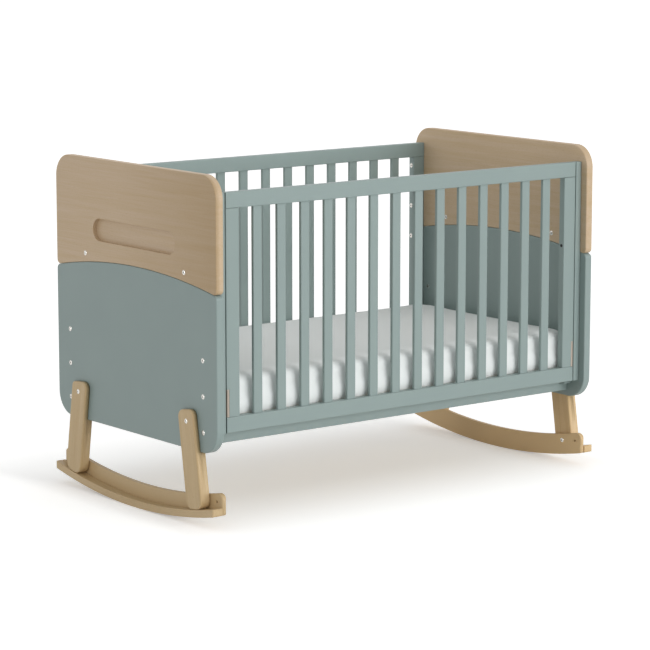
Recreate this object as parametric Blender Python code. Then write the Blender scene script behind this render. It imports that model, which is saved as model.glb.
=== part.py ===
"""Rocking cot bed with panelled ends, slatted sides, a drop side and an adjustable mattress base.

Metres, with +Z up. X runs along the cot with the head end at -X, Y runs across it with the front
side at -Y, and the origin is on the floor below the middle of the cot.
"""

from math import asin, cos, pi, radians, sin, sqrt, tan

import bmesh
import bpy
from mathutils import Matrix, Vector

# Fits between pieces, how far a cutting shape stands out of what it cuts, and what counts as an edge
SEAT_GAP = 0.0003
CUT_OVERRUN = 0.010
SHARP_ANGLE = radians(35)

# Mattress: the cot is made round it
MATTRESS_LENGTH = 1.320
MATTRESS_WIDTH = 0.700
MATTRESS_THICKNESS = 0.113
MATTRESS_CROWN = 0.005
MATTRESS_CROWN_BORDER = 0.150
MATTRESS_EDGE_RADIUS = 0.026
MATTRESS_FOOT_RADIUS = 0.014
MATTRESS_CORNER_RADIUS = 0.045
MATTRESS_SIDE_DRAW = 0.003
MATTRESS_END_CLEARANCE = 0.004
MATTRESS_SIDE_CLEARANCE = 0.005

# Ends: a painted panel below and a beech board above, which meet on an arch
END_THICKNESS = 0.025
END_FOOT_HEIGHT = 0.2085
PANEL_HEIGHT = 0.4775
TOP_BOARD_HEIGHT = 0.287
FOOT_CORNER_RADIUS = 0.068
TOP_CORNER_RADIUS = 0.065
ARCH_RISE = 0.038
ARCH_GAP = 0.0006
ARCH_CORNER_RADIUS = 0.014
ARCH_FACETS = 20
END_EDGE_ROUNDING = 0.005
RECESS_LENGTH = 0.410
RECESS_HEIGHT = 0.065
RECESS_DEPTH = 0.0135
RECESS_RISE = 0.085

# Sides: slats housed in two rails, with a stile at each end
SIDE_SET_IN = 0.023
SIDE_THICKNESS = 0.022
SIDE_HEIGHT = 0.661
SIDE_RISE = 0.0555
RAIL_HEIGHT = 0.044
STILE_WIDTH = 0.044
TIMBER_EASING = 0.0015
SLAT_COUNT = 14
SLAT_WIDTH = 0.030
SLAT_THICKNESS = 0.011
SLAT_EASING = 0.002
HOUSING_DEPTH = 0.008

# Drop side: tracks on the ends, runners on the tracks, grooves and end blocks in the stiles
TRACK_WIDTH = 0.022
SLIDE_CLEARANCE = 0.002
DROP_TRAVEL = 0.190
RUNNER_WIDTH = 0.008
GUIDE_BLOCK_WIDTH = 0.009
GUIDE_BLOCK_HEIGHT = 0.077
ACCESS_HOLE_RADIUS = 0.004
ACCESS_HOLE_DROP = 0.014

# Mattress base: two long rails lapped under two cross rails, with a ventilated deck
BASE_RISE = 0.018
LONG_RAIL_HEIGHT = 0.0585
LONG_RAIL_THICKNESS = 0.020
LONG_RAIL_SET_IN = 0.018
CROSS_RAIL_HEIGHT = 0.035
CROSS_RAIL_THICKNESS = 0.028
CROSS_RAIL_CLEARANCE = 0.010
DECK_THICKNESS = 0.012
DECK_CORNER_RADIUS = 0.015
VENT_COLUMNS = 6
VENT_ROWS = 4
VENT_LENGTH = 0.110
VENT_WIDTH = 0.026

# Rockers: an upright web with a ledge outside it, both on one arc
ROCKER_RADIUS = 1.900
ROCKER_SET_IN = 0.001
ROCKER_FACETS = 19
WEB_HEIGHT = 0.062
WEB_THICKNESS = 0.014
WEB_CORNER_RADIUS = 0.020
WEB_END_ROUNDING = 0.005
LEDGE_WIDTH = 0.033
LEDGE_HEIGHT = 0.0215
LEDGE_CORNER_RADIUS = 0.014
ROCKER_FOOT_RADIUS = 0.009
ROCKER_EDGE_ROUNDING = 0.002

# Legs: splayed, lapped over the outside of the end panels, and standing on the rockers' ledges
LEG_WIDTH = 0.074
LEG_THICKNESS = 0.030
LEG_LAP_THICKNESS = 0.0125
LEG_LAP_HEIGHT = 0.1175
LEG_SPLAY = radians(8.8)
LEG_FOOT_SET_IN = 0.091
LEG_FOOT_CLEARANCE = 0.002
LEG_END_RADIUS = 0.024
LEG_EDGE_ROUNDING = 0.007

# Places that follow from the sizes above
INNER_X = MATTRESS_LENGTH / 2 + MATTRESS_END_CLEARANCE
END_OUTER_X = INNER_X + END_THICKNESS
INNER_Y = MATTRESS_WIDTH / 2 + MATTRESS_SIDE_CLEARANCE
SIDE_Y = INNER_Y + SIDE_THICKNESS / 2
END_HALF_WIDTH = INNER_Y + SIDE_THICKNESS + SIDE_SET_IN
ARCH_CROWN_HEIGHT = END_FOOT_HEIGHT + PANEL_HEIGHT
END_TOP_HEIGHT = ARCH_CROWN_HEIGHT + TOP_BOARD_HEIGHT
SIDE_FOOT_HEIGHT = END_FOOT_HEIGHT + SIDE_RISE
BASE_FOOT_HEIGHT = END_FOOT_HEIGHT + BASE_RISE
LEG_OUTER_X = END_OUTER_X + SEAT_GAP + LEG_LAP_THICKNESS
LEG_INNER_X = LEG_OUTER_X - LEG_THICKNESS
LEG_FOOT_SPREAD = END_HALF_WIDTH - LEG_FOOT_SET_IN
ROCKER_HALF_LENGTH = END_HALF_WIDTH - ROCKER_SET_IN
DROP_SIDE_HALF_LENGTH = INNER_X - TRACK_WIDTH - SLIDE_CLEARANCE
FIXED_SIDE_HALF_LENGTH = INNER_X - SEAT_GAP


def linear_colour(hex_code):
    """Red, green and blue of an sRGB code such as C8AA82, each turned linear."""
    shares = [int(hex_code[place : place + 2], 16) / 255 for place in (0, 2, 4)]
    return [share / 12.92 if share <= 0.04045 else ((share + 0.055) / 1.055) ** 2.4 for share in shares]


def make_material(name, hex_code, roughness, metallic=0.0):
    material = bpy.data.materials.new(name)
    material.use_nodes = True
    shader = material.node_tree.nodes["Principled BSDF"]
    shader.inputs["Base Color"].default_value = (*linear_colour(hex_code), 1.0)
    shader.inputs["Roughness"].default_value = roughness
    shader.inputs["Metallic"].default_value = metallic
    return material


def rounded(corners, steps):
    """Closed outline through corners (a, b, radius), each rounded by its own radius.

    An arc of radius r starts r / tan(half the corner's angle) before the corner and ends as far
    after it, but never past the middle of an edge.
    """
    outline = []
    for index, (a, b, radius) in enumerate(corners):
        corner = Vector((a, b))
        if radius == 0:
            outline.append(corner)
            continue
        before = Vector(corners[index - 1][:2]) - corner
        after = Vector(corners[(index + 1) % len(corners)][:2]) - corner
        half_angle = before.angle(after) / 2
        reach = min(radius / tan(half_angle), before.length / 2, after.length / 2)
        before.normalize()
        after.normalize()
        centre = corner + (before + after).normalized() * reach / cos(half_angle)
        first_arm = corner + before * reach - centre
        last_arm = corner + after * reach - centre
        sweep = pi - 2 * half_angle
        for step in range(steps + 1):
            turned = sweep * step / steps
            arm = first_arm * sin(sweep - turned) + last_arm * sin(turned)
            outline.append(centre + arm / sin(sweep))
    return outline


def finished(form):
    """Mesh of a closed form, with its faces outward and shaded smooth between sharp edges."""
    bmesh.ops.recalc_face_normals(form, faces=form.faces)
    mesh = bpy.data.meshes.new("form")
    form.to_mesh(mesh)
    form.free()
    mesh.shade_smooth()
    mesh.set_sharp_from_angle(angle=SHARP_ANGLE)
    return mesh


def prism(outline, axis, depth):
    """Mesh of an outline drawn out along an axis, half the depth to each side of its plane.

    The outline is in Y and Z for axis X, in X and Z for axis Y, and in X and Y for axis Z.
    """
    orders = {"X": (2, 0, 1), "Y": (0, 2, 1), "Z": (0, 1, 2)}
    order = orders[axis]
    form = bmesh.new()
    base = []
    for a, b in outline:
        values = (a, b, -depth / 2)
        base.append(form.verts.new([values[place] for place in order]))
    face = form.faces.new(base)
    grown = bmesh.ops.extrude_face_region(form, geom=[face])
    moved = [item for item in grown["geom"] if isinstance(item, bmesh.types.BMVert)]
    bmesh.ops.translate(form, verts=moved, vec=[(0, 0, depth)[place] for place in order])
    return finished(form)


def box(length, width, height):
    """Mesh of a box centred on its origin."""
    form = bmesh.new()
    bmesh.ops.create_cube(form, size=1)
    bmesh.ops.scale(form, verts=form.verts, vec=(length, width, height))
    return finished(form)


def ringed(rings):
    """Mesh of a skin over rings of points, with the first and last ring closed flat."""
    form = bmesh.new()
    loops = [[form.verts.new(point) for point in ring] for ring in rings]
    count = len(loops[0])
    for lower, upper in zip(loops, loops[1:]):
        for index in range(count):
            following = (index + 1) % count
            form.faces.new((lower[index], lower[following], upper[following], upper[index]))
    form.faces.new(loops[0])
    form.faces.new(loops[-1])
    return finished(form)


def repeated(mesh, places):
    """One mesh that holds a copy of a mesh at each place."""
    form = bmesh.new()
    for place in places:
        copy = mesh.copy()
        copy.transform(Matrix.Translation(place))
        form.from_mesh(copy)
    return finished(form)


def add_object(name, mesh, location, parent=None, material=None, tilt=0):
    """Object of a mesh, placed under its parent and turned about X by its tilt."""
    thing = bpy.data.objects.new(name, mesh)
    thing.location = location
    thing.rotation_euler = (tilt, 0, 0)
    thing.parent = parent
    if material:
        mesh.materials.append(material)
    bpy.context.scene.collection.objects.link(thing)
    return thing


def add_empty(name, location):
    """Empty that carries the pieces of one body, at the body's own reference point."""
    return add_object(name, None, location)


def add_cutter(name, mesh, location, parent=None):
    """Shape that is only cut out of others."""
    cutter = add_object(name, mesh, location, parent)
    cutter.hide_render = True
    cutter.display_type = "WIRE"
    return cutter


def round_edges(thing, width, segments):
    """Round the edges where faces meet at the sharp angle or more."""
    rounding = thing.modifiers.new("edge_rounding", "BEVEL")
    rounding.width = width
    rounding.segments = segments
    rounding.limit_method = "ANGLE"
    rounding.angle_limit = SHARP_ANGLE


def cut(thing, cutter):
    cutting = thing.modifiers.new(cutter.name, "BOOLEAN")
    cutting.operation = "DIFFERENCE"
    cutting.solver = "EXACT"
    cutting.object = cutter


def add_timber(name, size, location, parent, material):
    """Straight length of timber with eased edges."""
    timber = add_object(name, box(*size), location, parent, material)
    round_edges(timber, TIMBER_EASING, 2)
    return timber


def arch_heights(height_at_crown):
    """Points (y, z) of the arch from the back edge of the end to its front edge.

    The arch is part of a circle with radius (w * w + h * h) / (2 * h) for half width w and rise h.
    """
    radius = (END_HALF_WIDTH**2 + ARCH_RISE**2) / (2 * ARCH_RISE)
    reach = asin(END_HALF_WIDTH / radius)
    points = []
    for facet in range(ARCH_FACETS + 1):
        angle = reach * (1 - 2 * facet / ARCH_FACETS)
        points.append((radius * sin(angle), height_at_crown - radius * (1 - cos(angle))))
    return points


def end_panel_outline():
    """Painted panel in Y and Z: round lower corners and an arched top edge."""
    foot = [
        (-END_HALF_WIDTH, END_FOOT_HEIGHT, FOOT_CORNER_RADIUS),
        (END_HALF_WIDTH, END_FOOT_HEIGHT, FOOT_CORNER_RADIUS),
    ]
    arch = [(y, z, 0) for y, z in arch_heights(ARCH_CROWN_HEIGHT - ARCH_GAP / 2)]
    arch[0] = (*arch[0][:2], ARCH_CORNER_RADIUS)
    arch[-1] = (*arch[-1][:2], ARCH_CORNER_RADIUS)
    return rounded(foot + arch, 8)


def top_board_outline():
    """Beech board in Y and Z: its lower edge follows the arch and its upper corners are round."""
    arch = [(y, z, 0) for y, z in reversed(arch_heights(ARCH_CROWN_HEIGHT + ARCH_GAP / 2))]
    arch[0] = (*arch[0][:2], ARCH_CORNER_RADIUS)
    arch[-1] = (*arch[-1][:2], ARCH_CORNER_RADIUS)
    top = [
        (END_HALF_WIDTH, END_TOP_HEIGHT, TOP_CORNER_RADIUS),
        (-END_HALF_WIDTH, END_TOP_HEIGHT, TOP_CORNER_RADIUS),
    ]
    return rounded(arch + top, 8)


def add_end(end, direction, body, beech, paint):
    """Painted panel and beech board of one end, in one plane."""
    x = direction * (INNER_X + END_THICKNESS / 2)
    panel = add_object(f"{end}_panel", prism(end_panel_outline(), "X", END_THICKNESS), (x, 0, 0), body, paint)
    board = add_object(f"{end}_board", prism(top_board_outline(), "X", END_THICKNESS), (x, 0, 0), body, beech)
    round_edges(panel, END_EDGE_ROUNDING, 3)
    round_edges(board, END_EDGE_ROUNDING, 3)
    return board


def add_recess(board, direction, body):
    """Shallow oblong recess with round ends in the outer face of a beech board."""
    half_length = RECESS_LENGTH / 2
    half_height = RECESS_HEIGHT / 2
    corners = [
        (-half_length, -half_height, half_height),
        (half_length, -half_height, half_height),
        (half_length, half_height, half_height),
        (-half_length, half_height, half_height),
    ]
    depth = RECESS_DEPTH + CUT_OVERRUN
    x = direction * (END_OUTER_X - RECESS_DEPTH + depth / 2)
    place = (x, 0, ARCH_CROWN_HEIGHT + RECESS_RISE)
    cut(board, add_cutter("recess_shape", prism(rounded(corners, 8), "X", depth), place, body))


def corner_drop(distance, radius):
    """How far a corner of a radius has fallen back at a distance from the end, r - sqrt(r^2 - d^2)."""
    into_corner = max(radius - distance, 0)
    return radius - sqrt(radius**2 - into_corner**2)


def rocker_rail(inner_x, outer_x, height, upper_corner, inner_corner, outer_corner):
    """Skin of a strip on the rocker's arc, between two planes across X.

    Each ring is a rounded rectangle in X and in height above the arc. Its points lean out with their
    height, so that the two ends are plumb. Towards the ends the strip falls back at its upper and
    lower corners, and in plan at its inner and outer corners.
    """
    reach = asin(ROCKER_HALF_LENGTH / ROCKER_RADIUS)
    facet_angle = 2 * reach / ROCKER_FACETS
    centre_height = ROCKER_RADIUS * cos(facet_angle / 2)
    angles = [facet_angle * (step + 0.5) for step in range(ROCKER_FACETS // 2)]
    corner_steps = 5
    corner_length = max(upper_corner, outer_corner, ROCKER_FOOT_RADIUS)
    for step in range(corner_steps, -1, -1):
        distance = corner_length * (1 - cos(pi / 2 * step / corner_steps))
        angles.append(reach - distance / ROCKER_RADIUS)
    angles = [-angle for angle in reversed(angles)] + angles
    rings = []
    for angle in angles:
        distance = (reach - abs(angle)) * ROCKER_RADIUS + ROCKER_EDGE_ROUNDING / 4
        lower = corner_drop(distance, ROCKER_FOOT_RADIUS)
        upper = height - corner_drop(distance, upper_corner)
        inner = inner_x + corner_drop(distance, inner_corner)
        outer = outer_x - corner_drop(distance, outer_corner)
        section = [
            (inner, lower, ROCKER_EDGE_ROUNDING),
            (outer, lower, ROCKER_EDGE_ROUNDING),
            (outer, upper, ROCKER_EDGE_ROUNDING),
            (inner, upper, ROCKER_EDGE_ROUNDING),
        ]
        ring = []
        for x, above_arc in rounded(section, 2):
            radius = ROCKER_RADIUS - above_arc
            turn = angle * asin(ROCKER_HALF_LENGTH / radius) / reach
            ring.append((x, radius * sin(turn), centre_height - radius * cos(turn)))
        rings.append(ring)
    return ringed(rings)


def mirrored(mesh):
    """The same mesh turned over to the other side of X."""
    mesh.transform(Matrix.Diagonal((-1, 1, 1, 1)))
    mesh.flip_normals()
    return mesh


def add_rocker(end, direction, body, beech):
    """Web against the legs' inner faces and ledge under their feet."""
    web_outer_x = LEG_INNER_X - SEAT_GAP
    web_inner_x = web_outer_x - WEB_THICKNESS
    web = rocker_rail(
        web_inner_x, web_outer_x, WEB_HEIGHT, WEB_CORNER_RADIUS, WEB_END_ROUNDING, WEB_END_ROUNDING
    )
    ledge_outer_x = LEG_INNER_X + LEDGE_WIDTH
    ledge = rocker_rail(LEG_INNER_X, ledge_outer_x, LEDGE_HEIGHT, ROCKER_EDGE_ROUNDING, 0, LEDGE_CORNER_RADIUS)
    if direction < 0:
        web = mirrored(web)
        ledge = mirrored(ledge)
    add_object(f"{end}_rocker_web", web, (0, 0, 0), body, beech)
    add_object(f"{end}_rocker_ledge", ledge, (0, 0, 0), body, beech)


def add_legs(end, direction, body, beech):
    """Two splayed legs, rebated so that the end panel's lower edge stands on their shoulders."""
    foot_y = LEG_FOOT_SPREAD
    foot_z = ROCKER_RADIUS - sqrt((ROCKER_RADIUS - LEDGE_HEIGHT) ** 2 - foot_y**2) + LEG_FOOT_CLEARANCE
    top_z = END_FOOT_HEIGHT + LEG_LAP_HEIGHT
    length = (top_z - foot_z) / cos(LEG_SPLAY)
    half_width = LEG_WIDTH / 2
    corners = [
        (-half_width, 0, LEG_END_RADIUS),
        (half_width, 0, LEG_END_RADIUS),
        (half_width, length, LEG_END_RADIUS),
        (-half_width, length, LEG_END_RADIUS),
    ]
    rebate_depth = LEG_THICKNESS - LEG_LAP_THICKNESS + CUT_OVERRUN
    rebate_x = direction * (END_OUTER_X + SEAT_GAP - rebate_depth / 2)
    rebate_height = LEG_LAP_HEIGHT + SEAT_GAP + CUT_OVERRUN
    rebate_z = END_FOOT_HEIGHT - SEAT_GAP + rebate_height / 2
    rebate = box(rebate_depth, 2 * (LEG_FOOT_SPREAD + LEG_WIDTH), rebate_height)
    cutter = add_cutter(f"{end}_leg_rebate_shape", rebate, (rebate_x, 0, rebate_z), body)
    x = direction * (LEG_OUTER_X - LEG_THICKNESS / 2)
    for side, across in (("front", -1), ("back", 1)):
        leg_mesh = prism(rounded(corners, 6), "X", LEG_THICKNESS)
        tilt = across * LEG_SPLAY
        leg = add_object(f"{end}_{side}_leg", leg_mesh, (x, across * foot_y, foot_z), body, beech, tilt)
        round_edges(leg, LEG_EDGE_ROUNDING, 3)
        cut(leg, cutter)


def slat_places(half_length):
    """Middles of the slats, with equal gaps between them and the stiles."""
    clear = 2 * (half_length - STILE_WIDTH)
    gap = (clear - SLAT_COUNT * SLAT_WIDTH) / (SLAT_COUNT + 1)
    return [-clear / 2 + gap + SLAT_WIDTH / 2 + index * (gap + SLAT_WIDTH) for index in range(SLAT_COUNT)]


def add_side_frame(side, half_length, body, paint):
    """Rails the full length, stiles butted between them, and slats housed in the rails.

    The body's reference point is below the middle of the frame, at its underside.
    """
    places = slat_places(half_length)
    housing_height = HOUSING_DEPTH + CUT_OVERRUN
    housing = box(SLAT_WIDTH + 2 * SEAT_GAP, SLAT_THICKNESS + 2 * SEAT_GAP, housing_height)
    rails = (
        ("bottom", RAIL_HEIGHT / 2, RAIL_HEIGHT - HOUSING_DEPTH + housing_height / 2),
        ("top", SIDE_HEIGHT - RAIL_HEIGHT / 2, SIDE_HEIGHT - RAIL_HEIGHT + HOUSING_DEPTH - housing_height / 2),
    )
    for level, rail_z, housing_z in rails:
        size = (2 * half_length, SIDE_THICKNESS, RAIL_HEIGHT)
        rail = add_timber(f"{side}_{level}_rail", size, (0, 0, rail_z), body, paint)
        housings = repeated(housing, [(x, 0, 0) for x in places])
        cut(rail, add_cutter(f"{side}_{level}_housing_shapes", housings, (0, 0, housing_z), body))

    stile_height = SIDE_HEIGHT - 2 * (RAIL_HEIGHT + SEAT_GAP)
    stiles = []
    for end, direction in (("head", -1), ("foot", 1)):
        x = direction * (half_length - STILE_WIDTH / 2)
        size = (STILE_WIDTH, SIDE_THICKNESS, stile_height)
        stiles.append(add_timber(f"{side}_{end}_stile", size, (x, 0, SIDE_HEIGHT / 2), body, paint))

    half_width = SLAT_WIDTH / 2
    half_depth = SLAT_THICKNESS / 2
    section = rounded(
        [
            (-half_width, -half_depth, SLAT_EASING),
            (half_width, -half_depth, SLAT_EASING),
            (half_width, half_depth, SLAT_EASING),
            (-half_width, half_depth, SLAT_EASING),
        ],
        2,
    )
    slat_height = SIDE_HEIGHT - 2 * (RAIL_HEIGHT - HOUSING_DEPTH + SEAT_GAP)
    for number, x in enumerate(places, start=1):
        slat = prism(section, "Z", slat_height)
        add_object(f"{side}_slat_{number:02d}", slat, (x, 0, SIDE_HEIGHT / 2), body, paint)
    return stiles


def add_drop_guides(stiles, cot, drop_side, paint, beech, nylon):
    """Tracks and runners of the drop side on the ends, and the stiles' grooves and end blocks.

    A runner stands in the stile's groove. Its foot is on the beech block when the side is up, and
    its top meets the top rail when the side is down.
    """
    groove_foot = RAIL_HEIGHT + SEAT_GAP + GUIDE_BLOCK_HEIGHT
    groove_top = SIDE_HEIGHT - RAIL_HEIGHT
    runner_foot = groove_foot + SEAT_GAP
    runner_top = groove_top - SEAT_GAP - DROP_TRAVEL
    runner_height = runner_top - runner_foot
    runner_depth = SLIDE_CLEARANCE + GUIDE_BLOCK_WIDTH - 2 * SEAT_GAP
    groove_width = RUNNER_WIDTH + 2 * SEAT_GAP
    cut_depth = GUIDE_BLOCK_WIDTH + CUT_OVERRUN
    for stile, (end, direction) in zip(stiles, (("head", -1), ("foot", 1))):
        track_x = direction * (INNER_X - SEAT_GAP - (TRACK_WIDTH - SEAT_GAP) / 2)
        track_size = (TRACK_WIDTH - SEAT_GAP, SIDE_THICKNESS, SIDE_HEIGHT)
        track_z = SIDE_FOOT_HEIGHT + SIDE_HEIGHT / 2
        add_timber(f"{end}_side_track", track_size, (track_x, -SIDE_Y, track_z), cot, paint)

        runner_x = direction * (INNER_X - TRACK_WIDTH - SEAT_GAP - runner_depth / 2)
        runner_z = SIDE_FOOT_HEIGHT + runner_foot + runner_height / 2
        runner = box(runner_depth, RUNNER_WIDTH, runner_height)
        add_object(f"{end}_side_runner", runner, (runner_x, -SIDE_Y, runner_z), cot, nylon)

        cut_x = direction * (DROP_SIDE_HALF_LENGTH - GUIDE_BLOCK_WIDTH + cut_depth / 2)
        groove_height = groove_top - groove_foot + CUT_OVERRUN
        groove = box(cut_depth, groove_width, groove_height)
        groove_z = groove_foot + groove_height / 2
        cut(stile, add_cutter(f"{end}_groove_shape", groove, (cut_x, 0, groove_z), drop_side))
        notch_height = GUIDE_BLOCK_HEIGHT + CUT_OVERRUN
        notch = box(cut_depth, SIDE_THICKNESS + 2 * CUT_OVERRUN, notch_height)
        notch_z = groove_foot - notch_height / 2
        cut(stile, add_cutter(f"{end}_block_notch_shape", notch, (cut_x, 0, notch_z), drop_side))

        hole_form = bmesh.new()
        bmesh.ops.create_cone(
            hole_form,
            cap_ends=True,
            segments=16,
            radius1=ACCESS_HOLE_RADIUS,
            radius2=ACCESS_HOLE_RADIUS,
            depth=STILE_WIDTH,
            matrix=Matrix.Rotation(pi / 2, 4, "Y"),
        )
        hole_x = direction * (DROP_SIDE_HALF_LENGTH - GUIDE_BLOCK_WIDTH / 2 - STILE_WIDTH / 2)
        hole_place = (hole_x, 0, runner_top - ACCESS_HOLE_DROP)
        cut(stile, add_cutter(f"{end}_access_hole_shape", finished(hole_form), hole_place, drop_side))

        block_width = GUIDE_BLOCK_WIDTH - SEAT_GAP - TIMBER_EASING / 2
        block_x = direction * (DROP_SIDE_HALF_LENGTH - GUIDE_BLOCK_WIDTH + SEAT_GAP + block_width / 2)
        block_height = GUIDE_BLOCK_HEIGHT - SEAT_GAP
        block = box(block_width, SIDE_THICKNESS, block_height)
        block_z = groove_foot - SEAT_GAP - block_height / 2
        add_object(f"{end}_guide_block", block, (block_x, 0, block_z), drop_side, beech)


def add_base(base, paint, plywood):
    """Long rails lapped under the cross rails, and a deck with rows of slots for air.

    The body's reference point is below the middle of the base, at its underside.
    """
    cross_half_length = INNER_Y - CROSS_RAIL_CLEARANCE
    long_y = cross_half_length - LONG_RAIL_SET_IN - LONG_RAIL_THICKNESS / 2
    half_length = INNER_X - SEAT_GAP
    lap_x = half_length - CROSS_RAIL_THICKNESS - SEAT_GAP
    lap_z = LONG_RAIL_HEIGHT - CROSS_RAIL_HEIGHT - SEAT_GAP
    outline = [
        (-half_length, 0),
        (half_length, 0),
        (half_length, lap_z),
        (lap_x, lap_z),
        (lap_x, LONG_RAIL_HEIGHT),
        (-lap_x, LONG_RAIL_HEIGHT),
        (-lap_x, lap_z),
        (-half_length, lap_z),
    ]
    for side, across in (("front", -1), ("back", 1)):
        rail = prism(outline, "Y", LONG_RAIL_THICKNESS)
        rail = add_object(f"base_{side}_rail", rail, (0, across * long_y, 0), base, paint)
        round_edges(rail, TIMBER_EASING, 1)
    for end, direction in (("head", -1), ("foot", 1)):
        size = (CROSS_RAIL_THICKNESS, 2 * cross_half_length, CROSS_RAIL_HEIGHT)
        x = direction * (half_length - CROSS_RAIL_THICKNESS / 2)
        z = LONG_RAIL_HEIGHT - CROSS_RAIL_HEIGHT / 2
        add_timber(f"base_{end}_rail", size, (x, 0, z), base, paint)

    half_width = MATTRESS_WIDTH / 2
    corners = [
        (-MATTRESS_LENGTH / 2, -half_width, DECK_CORNER_RADIUS),
        (MATTRESS_LENGTH / 2, -half_width, DECK_CORNER_RADIUS),
        (MATTRESS_LENGTH / 2, half_width, DECK_CORNER_RADIUS),
        (-MATTRESS_LENGTH / 2, half_width, DECK_CORNER_RADIUS),
    ]
    deck_z = LONG_RAIL_HEIGHT + SEAT_GAP + DECK_THICKNESS / 2
    deck = prism(rounded(corners, 4), "Z", DECK_THICKNESS)
    deck = add_object("base_deck", deck, (0, 0, deck_z), base, plywood)
    vent_half_width = VENT_WIDTH / 2
    vent_corners = [
        (-VENT_LENGTH / 2, -vent_half_width, vent_half_width),
        (VENT_LENGTH / 2, -vent_half_width, vent_half_width),
        (VENT_LENGTH / 2, vent_half_width, vent_half_width),
        (-VENT_LENGTH / 2, vent_half_width, vent_half_width),
    ]
    vent = prism(rounded(vent_corners, 3), "Z", DECK_THICKNESS + 2 * CUT_OVERRUN)
    column_pitch = 2 * lap_x / VENT_COLUMNS
    row_pitch = 2 * (long_y - LONG_RAIL_THICKNESS / 2) / VENT_ROWS
    vents = []
    for column in range(VENT_COLUMNS):
        for row in range(VENT_ROWS):
            x = (column - (VENT_COLUMNS - 1) / 2) * column_pitch
            y = (row - (VENT_ROWS - 1) / 2) * row_pitch
            vents.append((x, y, 0))
    cut(deck, add_cutter("vent_shapes", repeated(vent, vents), (0, 0, deck_z), base))


def add_mattress(mattress, cover):
    """Mattress with sides drawn in to its foot, a round top edge and a low crown.

    The body's reference point is below the middle of the mattress, at its underside. Each ring is
    a rounded rectangle, drawn in from the mattress's length and width by its inset.
    """
    profile = []
    for step in range(3):
        angle = pi / 2 * (1 - step / 3)
        inset = MATTRESS_SIDE_DRAW + MATTRESS_FOOT_RADIUS * (1 - cos(angle))
        profile.append((inset, MATTRESS_FOOT_RADIUS * (1 - sin(angle))))
    waist_height = (MATTRESS_THICKNESS + MATTRESS_FOOT_RADIUS - MATTRESS_EDGE_RADIUS) / 2
    profile.append((MATTRESS_SIDE_DRAW, MATTRESS_FOOT_RADIUS))
    profile.append((MATTRESS_SIDE_DRAW / 3, waist_height))
    for step in range(6):
        angle = pi / 2 * step / 5
        inset = MATTRESS_EDGE_RADIUS * (1 - cos(angle))
        profile.append((inset, MATTRESS_THICKNESS - MATTRESS_EDGE_RADIUS * (1 - sin(angle))))
    for border_share in (0.12, 0.3, 0.55, 0.8, 1):
        rise = MATTRESS_CROWN * (1 - (1 - border_share) ** 2)
        profile.append((MATTRESS_EDGE_RADIUS + MATTRESS_CROWN_BORDER * border_share, MATTRESS_THICKNESS + rise))
    rings = []
    for inset, height in profile:
        half_length = MATTRESS_LENGTH / 2 - inset
        half_width = MATTRESS_WIDTH / 2 - inset
        corners = [
            (-half_length, -half_width, MATTRESS_CORNER_RADIUS),
            (half_length, -half_width, MATTRESS_CORNER_RADIUS),
            (half_length, half_width, MATTRESS_CORNER_RADIUS),
            (-half_length, half_width, MATTRESS_CORNER_RADIUS),
        ]
        rings.append([(x, y, height) for x, y in rounded(corners, 8)])
    add_object("mattress", ringed(rings), (0, 0, 0), mattress, cover)


for old in list(bpy.data.objects):
    bpy.data.objects.remove(old)

beech = make_material("beech", "C9A97C", 0.45)
paint = make_material("sage_paint", "98AAA6", 0.45)
plywood = make_material("birch_plywood", "D8C39A", 0.55)
nylon = make_material("nylon", "4A5552", 0.40)
cover = make_material("mattress_cover", "F2F2F0", 0.90)

cot = add_empty("cot", (0, 0, 0))
drop_side = add_empty("drop_side", (0, -SIDE_Y, SIDE_FOOT_HEIGHT))
fixed_side = add_empty("fixed_side", (0, SIDE_Y, SIDE_FOOT_HEIGHT))
base = add_empty("mattress_base", (0, 0, BASE_FOOT_HEIGHT))
mattress_foot = BASE_FOOT_HEIGHT + LONG_RAIL_HEIGHT + DECK_THICKNESS + 2 * SEAT_GAP
mattress = add_empty("mattress_body", (0, 0, mattress_foot))

head_board = add_end("head", -1, cot, beech, paint)
add_end("foot", 1, cot, beech, paint)
add_recess(head_board, -1, cot)
for end, direction in (("head", -1), ("foot", 1)):
    add_rocker(end, direction, cot, beech)
    add_legs(end, direction, cot, beech)
add_side_frame("back", FIXED_SIDE_HALF_LENGTH, fixed_side, paint)
front_stiles = add_side_frame("front", DROP_SIDE_HALF_LENGTH, drop_side, paint)
add_drop_guides(front_stiles, cot, drop_side, paint, beech, nylon)
add_base(base, paint, plywood)
add_mattress(mattress, cover)
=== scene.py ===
"""Looks of a rocking cot bed: painted slatted sides, beech-topped ends, legs, rockers and mattress."""

import math

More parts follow.
